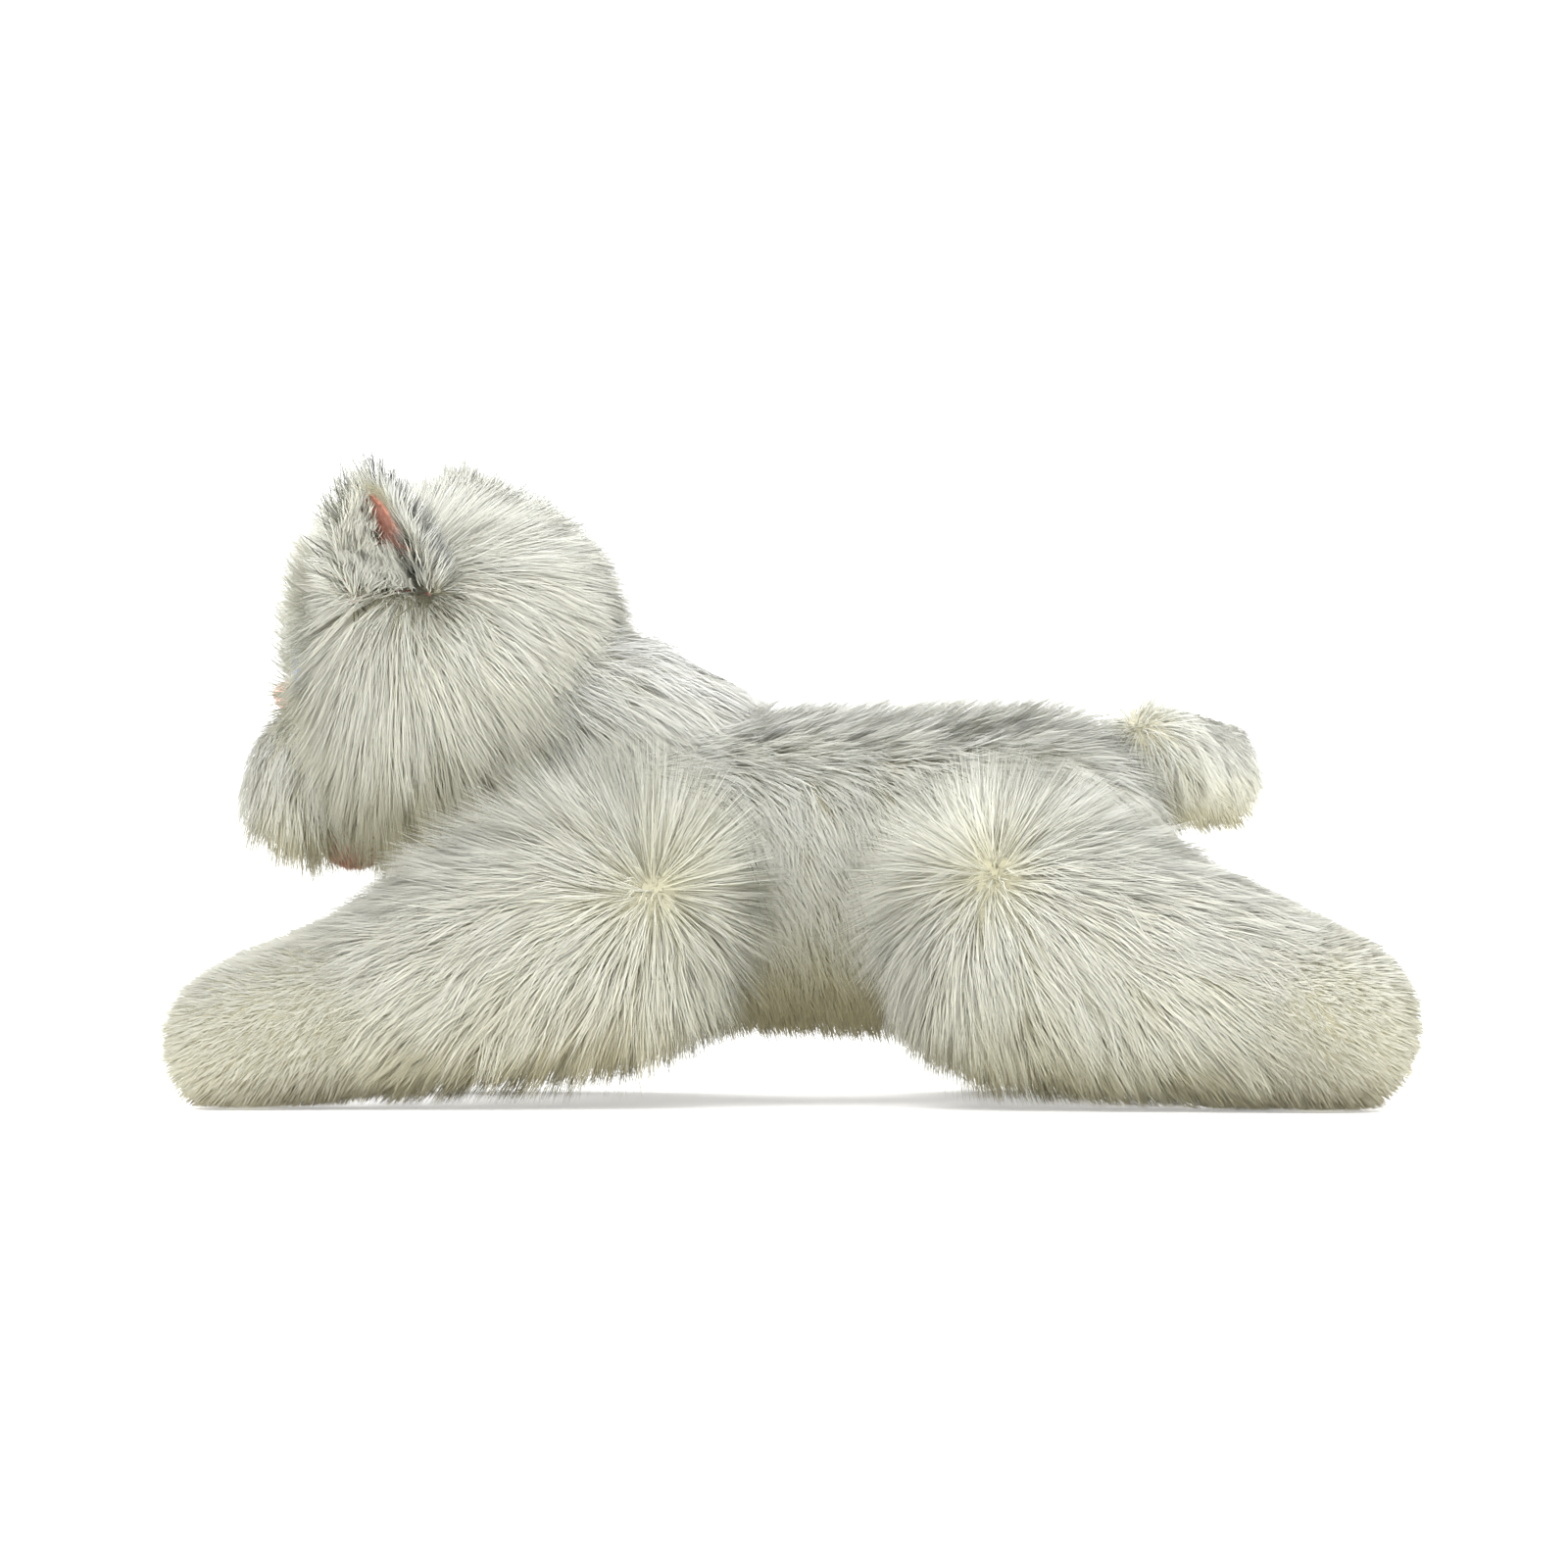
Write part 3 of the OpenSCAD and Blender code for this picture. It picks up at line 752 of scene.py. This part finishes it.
headLook = {
    "crownPile": 0.017, "cheekPile": 0.020, "facePile": 0.016, "napePile": 0.015,
    "tone": 0.60, "underShadeTone": 0.30, "eyeRoom": 0.0085, "eyeRing": 0.012, "inset": 0.001,
    "undercoat": {"seed": 61},
    "topcoat": {"seed": 62, "density": 82, "width": 0.00034, "lockStray": 0.22}}
neckLook = {
    "pile": 0.019, "undercoat": {"seed": 71, "density": 105, "locks": 10, "width": 0.00048},
    "topcoat": {"seed": 72, "locks": 3.5, "width": 0.00036, "droop": 0.2}}
muzzleLook = {
    "ahead": 0.036, "down": 0.024, "apart": 0.0085, "radius": 0.0125, "pile": 0.017, "tone": 0.66,
    "undercoat": {"seed": 81, "density": 160, "locks": 14, "width": 0.00044, "swirl": 0.6, "droop": 0.15},
    "topcoat": {"seed": 82, "density": 120, "locks": 7, "width": 0.00034, "pull": 0.4, "swirl": 0.7,
                "wave": 0.0008, "droop": 0.35}}
chinLook = {"ahead": 0.026, "down": 0.0415, "radius": 0.0080, "halfWidth": 0.003, "pile": 0.0022}


def eyeCentre(side):    # the dome's highest point
    points = nodePoints(f"{side}_eye")
    return points[np.argmax(np.linalg.norm(points - skullAt, axis=1))]


def earBase(side):
    return np.array(joints[f"{side}_ear_flex"]["pos_m"])


def makeHead():
    look = headLook
    inset = look["inset"]
    skin = ballChain("head_skin", [
        (headPlace(-0.004, 0, 0.0), skullRadius - 0.003 - inset),
        (headPlace(0.0, 0, 0.0), skullRadius - inset),
        (headPlace(0.009, 0, -0.008), skullRadius - 0.008 - inset)], steps=3)
    plump(skin, 3.0, 0.002)

    def comb(p, n):
        ahead, across, _ = headParts(p)
        hubs = np.where(across[:, None] < 0, fan(p, earBase("left")), fan(p, earBase("right")))
        way = hubs + np.array([0, 0, -0.55]) - headAhead * 0.15
        # Round the face the pile runs outwards from the nose.
        nose = headPlace(skullRadius, 0, -skullRadius * 0.3)
        front = blendTo(0.45, 0.9, ahead / skullRadius)[:, None]
        return way * (1 - front) + (fan(p, nose) + np.array([0, 0, -0.25])) * front

    def pile(p, n):
        ahead, _, up = headParts(p)
        crown = blendTo(0.3, 0.8, up / skullRadius)
        face = blendTo(0.55, 0.85, ahead / skullRadius)
        nape = blendTo(0.2, 0.8, -ahead / skullRadius)
        value = look["cheekPile"] + (look["crownPile"] - look["cheekPile"]) * crown
        value = value + (look["napePile"] - value) * nape
        value = value + (look["facePile"] - value) * face
        near = np.min([np.linalg.norm(p - eyeCentre(side), axis=1) for side in sides], axis=0)
        return value * (0.6 + 0.4 * blendTo(look["eyeRoom"], look["eyeRing"], near))

    def tone(p, n):
        # Painted shade: the head's underside is darker.
        return look["tone"] + (look["underShadeTone"] - look["tone"]) * blendTo(0.2, 0.9, -n[:, 2])

    def cover(p, n):
        clear = np.ones(len(p))
        for side in sides:
            away = np.linalg.norm(p - eyeCentre(side), axis=1)
            clear *= blendTo(look["eyeRoom"] - 0.003, look["eyeRoom"], away)
        neck = np.linalg.norm(p - neckAt, axis=1)
        return clear * blendTo(0.019, 0.023, neck)

    def rise(p, n):
        return 0.2 + 0.55 * blendTo(0.3, 0.9, n[:, 2]) + 0.75 * blendTo(0.3, 0.8, n @ headAhead)

    whorls = [(earBase("left"), 0.008), (earBase("right"), 0.008)]
    paintSkin(skin, comb, pile, rise, tone, cover, whorls)
    growLongFur("head", skin, "head", look)
    skinReady(skin, "head", headCovers, shadedBacking)


def makeNeck():
    radius = np.ptp(nodePoints("neck_ruff")[:, 2]) / 2
    ends = [neckAt + (-0.006, 0, 0.002), neckAt + (0.008, 0, -0.004)]
    skin = ballChain("neck_skin", [(end, radius - 0.002) for end in ends], steps=3)
    plump(skin, 2.5, 0.0015)
    # The neck's pile is painted darker underneath: painted shade.
    paintSkin(
        skin, lambda p, n: fan(p, neckAt + (-0.03, 0, 0.03)) + np.array([0.7, 0, -0.4]),
        lambda p, n: neckLook["pile"], lambda p, n: 0.12,
        lambda p, n: 0.70 - 0.3 * blendTo(0.0, 0.8, -n[:, 2]), lambda p, n: blendTo(-0.7, -0.2, n[:, 2]))
    growLongFur("neck", skin, "neck", neckLook)
    skinReady(skin, "neck", ["neck_ruff"], shadedBacking)


def makeMuzzle():
    look = muzzleLook
    pads = [headPlace(look["ahead"], sign * look["apart"], -look["down"]) for sign in (-1, 1)]
    skin = ballChain("muzzle_skin", [(pad, look["radius"]) for pad in pads], voxel=0.0028, steps=1)
    plump(skin, 2.0, 0.001)
    nose = nodePoints("nose").mean(axis=0)

    def comb(p, n):
        return fan(p, nose) * 0.8 + np.array([0, 0, -0.9]) + headAhead * 0.1

    # The muzzle's pile is painted darker underneath: painted shade.
    paintSkin(
        skin, comb,
        lambda p, n: look["pile"] * (0.45 + 0.55 * blendTo(-0.012, -0.030, headParts(p)[2])),
        lambda p, n: 0.25, lambda p, n: look["tone"] - 0.3 * blendTo(0.2, 0.9, -n[:, 2]),
        lambda p, n: blendTo(0.003, 0.0055, np.linalg.norm(p - nose, axis=1)))
    growLongFur("muzzle", skin, "head", look)
    skinReady(skin, "head", ["muzzle_cover"], shadedBacking)


def makeChin():
    look = chinLook
    low = headPlace(look["ahead"], 0, -look["down"])
    ends = [low + headAxis * look["halfWidth"] * sign for sign in (-1, 1)]
    skin = ballChain("chin_lip_skin", [(end, look["radius"]) for end in ends], voxel=0.0022, steps=1)
    paintSkin(
        skin, lambda p, n: headAhead * -0.4 + np.array([0, 0, -1.0]), lambda p, n: look["pile"],
        lambda p, n: 0.8, lambda p, n: 0.5, lambda p, n: 1.0)
    growFur("chin_lip_pile", skin, "head", plush, {"seed": 85})
    skinReady(skin, "head", ["chin_lip"], pinkVelour)


def makeNose():
    centre = nodePoints("nose").mean(axis=0)
    radius = np.ptp(nodePoints("nose")[:, 2]) / 2
    form = bmesh.new()
    bmesh.ops.create_icosphere(form, subdivisions=4, radius=1)
    mesh = bpy.data.meshes.new("nose_pad")
    form.to_mesh(mesh)
    form.free()
    p = meshPoints(mesh)
    # A soft triangle: wide above, narrow below, with two nostril dents.
    wide = 1.35 - 0.75 * blendTo(0.5, -1.0, p[:, 2])
    dent = sum(
        0.28 * np.exp(-(((p[:, 1] - s * 0.45) / 0.22) ** 2 + ((p[:, 2] + 0.25) / 0.2) ** 2))
        for s in (-1, 1))
    ahead = p[:, 0] * (0.85 - dent * (p[:, 0] > 0))
    setPoints(mesh, centre + radius * (headAhead * ahead[:, None] + headAxis * (p[:, 1] * wide)[:, None]
                                       + np.array([0, 0, 1.0]) * (p[:, 2] * 0.85)[:, None]))
    smoothShade(mesh)
    bm = bmesh.new()
    bm.from_mesh(mesh)
    bmesh.ops.recalc_face_normals(bm, faces=bm.faces)
    bm.to_mesh(mesh)
    bm.free()
    obj = newObject("nose_pad", mesh)
    skinReady(obj, "head", ["nose"], pinkVelour)


eyeLook = {"irisRadius": 0.0065, "roughness": 0.12, "coatRoughness": 0.03}


def eyeMaterial(name, centre, axis):    # rings of colour round the eye's own axis
    made, tree, shader = newMaterial(name)
    place = tree.nodes.new("ShaderNodeTexCoord")
    away = tree.nodes.new("ShaderNodeVectorMath")
    away.operation = "SUBTRACT"
    away.inputs[1].default_value = tuple(centre)
    tree.links.new(place.outputs["Object"], away.inputs[0])
    cross = tree.nodes.new("ShaderNodeVectorMath")
    cross.operation = "CROSS_PRODUCT"
    cross.inputs[1].default_value = tuple(axis)
    tree.links.new(away.outputs["Vector"], cross.inputs[0])
    far = tree.nodes.new("ShaderNodeVectorMath")
    far.operation = "LENGTH"
    tree.links.new(cross.outputs["Vector"], far.inputs[0])
    scale = tree.nodes.new("ShaderNodeMath")
    scale.operation = "MULTIPLY"
    scale.inputs[1].default_value = 1 / eyeLook["irisRadius"]
    tree.links.new(far.outputs["Value"], scale.inputs[0])
    colour = addRamp(tree, scale.outputs[0], [
        (0.0, (0.01, 0.01, 0.012)), (0.44, (0.012, 0.014, 0.02)), (0.47, (0.20, 0.42, 0.62)),
        (0.75, (0.16, 0.36, 0.60)), (0.90, (0.05, 0.12, 0.24)), (0.97, (0.01, 0.02, 0.03))])
    tree.links.new(colour, shader.inputs["Base Color"])
    shader.inputs["Roughness"].default_value = eyeLook["roughness"]
    shader.inputs["Coat Weight"].default_value = 1.0
    shader.inputs["Coat Roughness"].default_value = eyeLook["coatRoughness"]
    return made


def dressHardParts():
    washer = clothMaterial("washerPlastic", [(0.3, (0.72, 0.72, 0.73)), (0.7, (0.78, 0.78, 0.79))], {
        "mottleScale": 300, "grainScale": 900, "bump": 0.1, "bumpDepth": 0.0002, "roughness": 0.45,
        "sheen": 0.0})
    for side in sides:
        eye = frame["nodes"][f"{side}_eye"]
        ring = nodePoints(f"{side}_eye_washer")
        axis = unit(ring.mean(axis=0) - skullAt)
        eye.data.materials.clear()
        eye.data.materials.append(eyeMaterial(f"{side}EyeGloss", skullAt, axis))
        frame["nodes"][f"{side}_eye_washer"].data.materials.clear()
        frame["nodes"][f"{side}_eye_washer"].data.materials.append(washer)
    for name, obj in frame["nodes"].items():
        if name.endswith(("pellet_bag", "stuffing", "wad")):
            obj.data.materials.clear()
            obj.data.materials.append(bagCloth if name.endswith("pellet_bag") else wadding)


# Ears: a furred back and a pink lining, on each ear's own directions

earLook = {
    "width": 0.028, "sink": 0.003, "bend": 0.022, "backThick": 0.0022, "liningThick": 0.0012,
    "pile": 0.0075, "rimPile": 0.0025, "tuftPile": 0.016, "liningPile": 0.0016, "liningAhead": 0.0019,
    "fall": 2.1, "blunt": 0.7,
    "backCoat": {"density": 380, "locks": 25, "width": 0.00042, "pull": 0.25, "lockStray": 0.25,
                 "ownStray": 0.25, "swirl": 0.3, "wave": 0.0002, "lengthSpread": 0.2},
    "liningCoat": {"density": 900, "width": 0.00036, "swirl": 0.3},
    "tuftCoat": {"density": 420, "locks": 14, "width": 0.00050, "pull": 0.3, "lockStray": 0.3,
                 "ownStray": 0.2, "swirl": 0.3, "wave": 0.0006, "droop": 0.1, "lengthSpread": 0.3}}


def makeEar(side):
    look = earLook
    joint = joints[f"{side}_ear_flex"]
    base, wide = np.array(joint["pos_m"]), unit(joint["axis"])
    back = nodePoints(f"{side}_ear_back")
    up = back[np.argmax(np.linalg.norm(back - base, axis=1))] - base
    tall = np.linalg.norm(up)
    up = unit(up - wide * (up @ wide))
    ahead = np.cross(wide, up)
    front = wide * np.sign(wide @ headAhead)
    body = f"{side}_ear"

    def sheet(name, width, height, bend, thick, sink):
        rows, columns = 16, 14
        corners = []
        for i in range(rows + 1):
            t = i / rows
            half = width / 2 * max(1 - t ** look["fall"], 0.0) ** look["blunt"] + 0.0006
            for j in range(columns + 1):
                s = (j / columns * 2 - 1) * half
                dish = bend - math.sqrt(max(bend ** 2 - s ** 2, 0)) - 0.001
                fold = 0.0025 * math.sin(t * math.pi)    # the ear nods forward a little at its tip
                corners.append(base + wide * s + ahead * (dish + fold * t) + up * (t * height - sink))
        firsts = [i * (columns + 1) + j for i in range(rows) for j in range(columns)]
        faces = [(k, k + 1, k + columns + 2, k + columns + 1) for k in firsts]
        mesh = bpy.data.meshes.new(name)
        mesh.from_pydata([tuple(c) for c in corners], [], faces)
        obj = newObject(name, mesh)
        solid = obj.modifiers.new("Thickness", "SOLIDIFY")
        solid.thickness = thick
        solid.offset = 0
        finer = obj.modifiers.new("Round", "SUBSURF")
        finer.levels = finer.render_levels = 1
        obj.data = frozen(obj)
        form = bmesh.new()
        form.from_mesh(obj.data)
        bmesh.ops.remove_doubles(form, verts=form.verts, dist=1e-6)
        bmesh.ops.recalc_face_normals(form, faces=form.faces)
        form.to_mesh(obj.data)
        form.free()
        obj.data.name = name
        smoothShade(obj.data)
        return obj

    outer = sheet(
        f"{side}_ear_back_skin", look["width"], tall, look["bend"], look["backThick"], look["sink"])
    inner = sheet(f"{side}_ear_lining_skin", look["width"] - 0.004, tall - 0.003,
                  look["bend"] - look["backThick"], look["liningThick"], look["sink"])
    points = meshPoints(inner.data)
    setPoints(inner.data, points + ahead * look["liningAhead"])

    def height(p):
        return (p - base) @ up / tall

    def facing(n):    # 1 on the ear's back, 0 in its cup
        return blendTo(0.2, -0.2, n @ ahead)

    def rim(p):
        t = np.clip(height(p), 0, 1)
        half = look["width"] / 2 * np.maximum(1 - t ** look["fall"], 0) ** look["blunt"]
        sideways = np.abs((p - base) @ wide) / np.maximum(half, 0.001)
        return np.maximum(blendTo(0.55, 0.95, sideways), blendTo(0.8, 0.92, t))

    def spread(p):    # up the ear and out to its edges
        return up + wide * (((p - base) @ wide) / look["width"])[:, None] * 1.6

    paintSkin(
        outer, lambda p, n: spread(p), lambda p, n: look["pile"] + look["rimPile"] * rim(p),
        lambda p, n: 0.45, lambda p, n: 0.80, lambda p, n: np.maximum(facing(n), rim(p)))
    backCoat = {**look["backCoat"], "seed": 91 + sides[side]}
    growFur(f"{side}_ear_back_pile", outer, body, topcoat, backCoat)
    paintSkin(
        inner, lambda p, n: up, lambda p, n: look["liningPile"], lambda p, n: 0.7,
        lambda p, n: 0.55 - 0.35 * blendTo(0.5, 0.0, height(p)), lambda p, n: 1 - facing(n))
    liningCoat = {**look["liningCoat"], "seed": 95 + sides[side]}
    growFur(f"{side}_ear_lining_pile", inner, body, plush, liningCoat)

    def tuftCover(p, n):    # long white hair from the front edge and the lowest third covers the cup
        edge = blendTo(-0.002, 0.003, (p - base) @ front) * blendTo(0.95, 0.75, height(p))
        return (1 - facing(n)) * np.maximum(edge, blendTo(0.30, 0.15, height(p)))

    paintSkin(
        inner, lambda p, n: up * 0.9 - front * 0.7 + ahead * 0.35, lambda p, n: look["tuftPile"],
        lambda p, n: 0.5, lambda p, n: 0.75, tuftCover)
    tuftCoat = {**look["tuftCoat"], "seed": 98 + sides[side]}
    growFur(f"{side}_ear_tuft", inner, body, topcoat, tuftCoat)
    skinReady(outer, body, [f"{side}_ear_back"], shadedBacking)
    skinReady(inner, body, [f"{side}_ear_lining"], pinkVelour)


# Tail

tailLook = {
    "pile": 0.012, "rise": 0.15, "tone": 0.60, "endRadius": 0.009,
    "undercoat": {"seed": 101, "swirl": 0.6},
    "topcoat": {"seed": 102, "density": 110, "locks": 5, "lockStray": 0.25, "swirl": 0.7, "droop": 0.45}}


def makeTail():
    look = tailLook
    root = np.array(joints["tail_lift"]["pos_m"])
    cover = nodePoints("tail_cover")
    rootRadius = np.ptp(nodePoints("tail_root_wad")[:, 2]) / 2 + coverWall
    tip = cover[np.argmax(np.linalg.norm(cover - root, axis=1))]
    way = unit(tip - root)
    end = tip - way * look["endRadius"]
    skin = ballChain("tail_skin", [(root, rootRadius - 0.001), (end, look["endRadius"])], voxel=0.003)
    plump(skin, 2.0, 0.0012)
    # The tail's pile is painted darker underneath: painted shade.
    paintSkin(
        skin, lambda p, n: way * 0.6 + np.array([0.2, 0, -0.7]), lambda p, n: look["pile"],
        lambda p, n: look["rise"], lambda p, n: look["tone"] - 0.25 * blendTo(0.2, 0.9, -n[:, 2]),
        lambda p, n: 1.0)
    growLongFur("tail", skin, "tail", look)
    skinReady(skin, "tail", ["tail_cover"], shadedBacking)


# Floor, light and camera

shot = {
    "aim": (-0.0013, 0.0, 0.0768), "distance": 3.0, "elevation": 0.8, "frameWidth": 0.3803,
    "sensor": 0.036}
studio = {"world": 2.1, "keyPower": 14.0, "fillPower": 4.5, "farPower": 14.0}


def makeStudio():
    bpy.ops.mesh.primitive_circle_add(vertices=96, radius=6, fill_type="NGON", location=(0, 0, 0))
    floor = bpy.context.object
    floor.name = "floor"
    made, tree, shader = newMaterial("paleFloor")
    shader.inputs["Base Color"].default_value = linear(0.97, 0.97, 0.97)
    shader.inputs["Roughness"].default_value = 0.9
    shader.inputs["Specular IOR Level"].default_value = 0.0
    shader.inputs["Emission Color"].default_value = (1, 1, 1, 1)
    shader.inputs["Emission Strength"].default_value = 0.35
    floor.data.materials.append(made)
    world = bpy.data.worlds.new("studio")
    world.use_nodes = True
    background = world.node_tree.nodes["Background"]
    background.inputs["Color"].default_value = (1, 1, 1, 1)
    background.inputs["Strength"].default_value = studio["world"]
    scene.world = world
    for name, place, size, power, colour in (
            ("keyLight", (-0.9, -1.3, 1.6), 1.2, studio["keyPower"], (1.0, 0.99, 0.97)),
            ("fillLight", (1.2, -0.8, 1.2), 1.5, studio["fillPower"], (0.95, 0.98, 1.0)),
            ("farLight", (-0.5, 1.4, 1.6), 1.5, studio["farPower"], (1.0, 1.0, 1.0))):
        lamp = bpy.data.lights.new(name, "AREA")
        lamp.size = size
        lamp.energy = power
        lamp.color = colour
        holder = newObject(name, lamp)
        holder.location = place
        holder.rotation_euler = (Vector(shot["aim"]) - Vector(place)).to_track_quat("-Z", "Y").to_euler()
    view = bpy.data.cameras.new("camera")
    view.sensor_width = shot["sensor"] * 1000
    view.lens = view.sensor_width * shot["distance"] / shot["frameWidth"]
    view.clip_end = 50
    camera = newObject("camera", view)
    tilt = math.radians(shot["elevation"])
    aim = Vector(shot["aim"])
    camera.location = aim + Vector((0, -math.cos(tilt), math.sin(tilt))) * shot["distance"]
    camera.rotation_euler = (aim - camera.location).to_track_quat("-Z", "Y").to_euler()
    scene.camera = camera
    scene.view_settings.view_transform = "Standard"
    scene.cycles.diffuse_bounces = 8
    scene.cycles.max_bounces = 12


makeStudio()
makeTorso()
makeNeck()
for end in ("front", "hind"):
    for side in sides:
        makeLeg(end, side)
makeHead()
makeMuzzle()
makeChin()
makeNose()
for side in sides:
    makeEar(side)
makeTail()
dressHardParts()
print(f"fur: {strandTotal['strands']} strands, {strandTotal['triangles']} triangles")
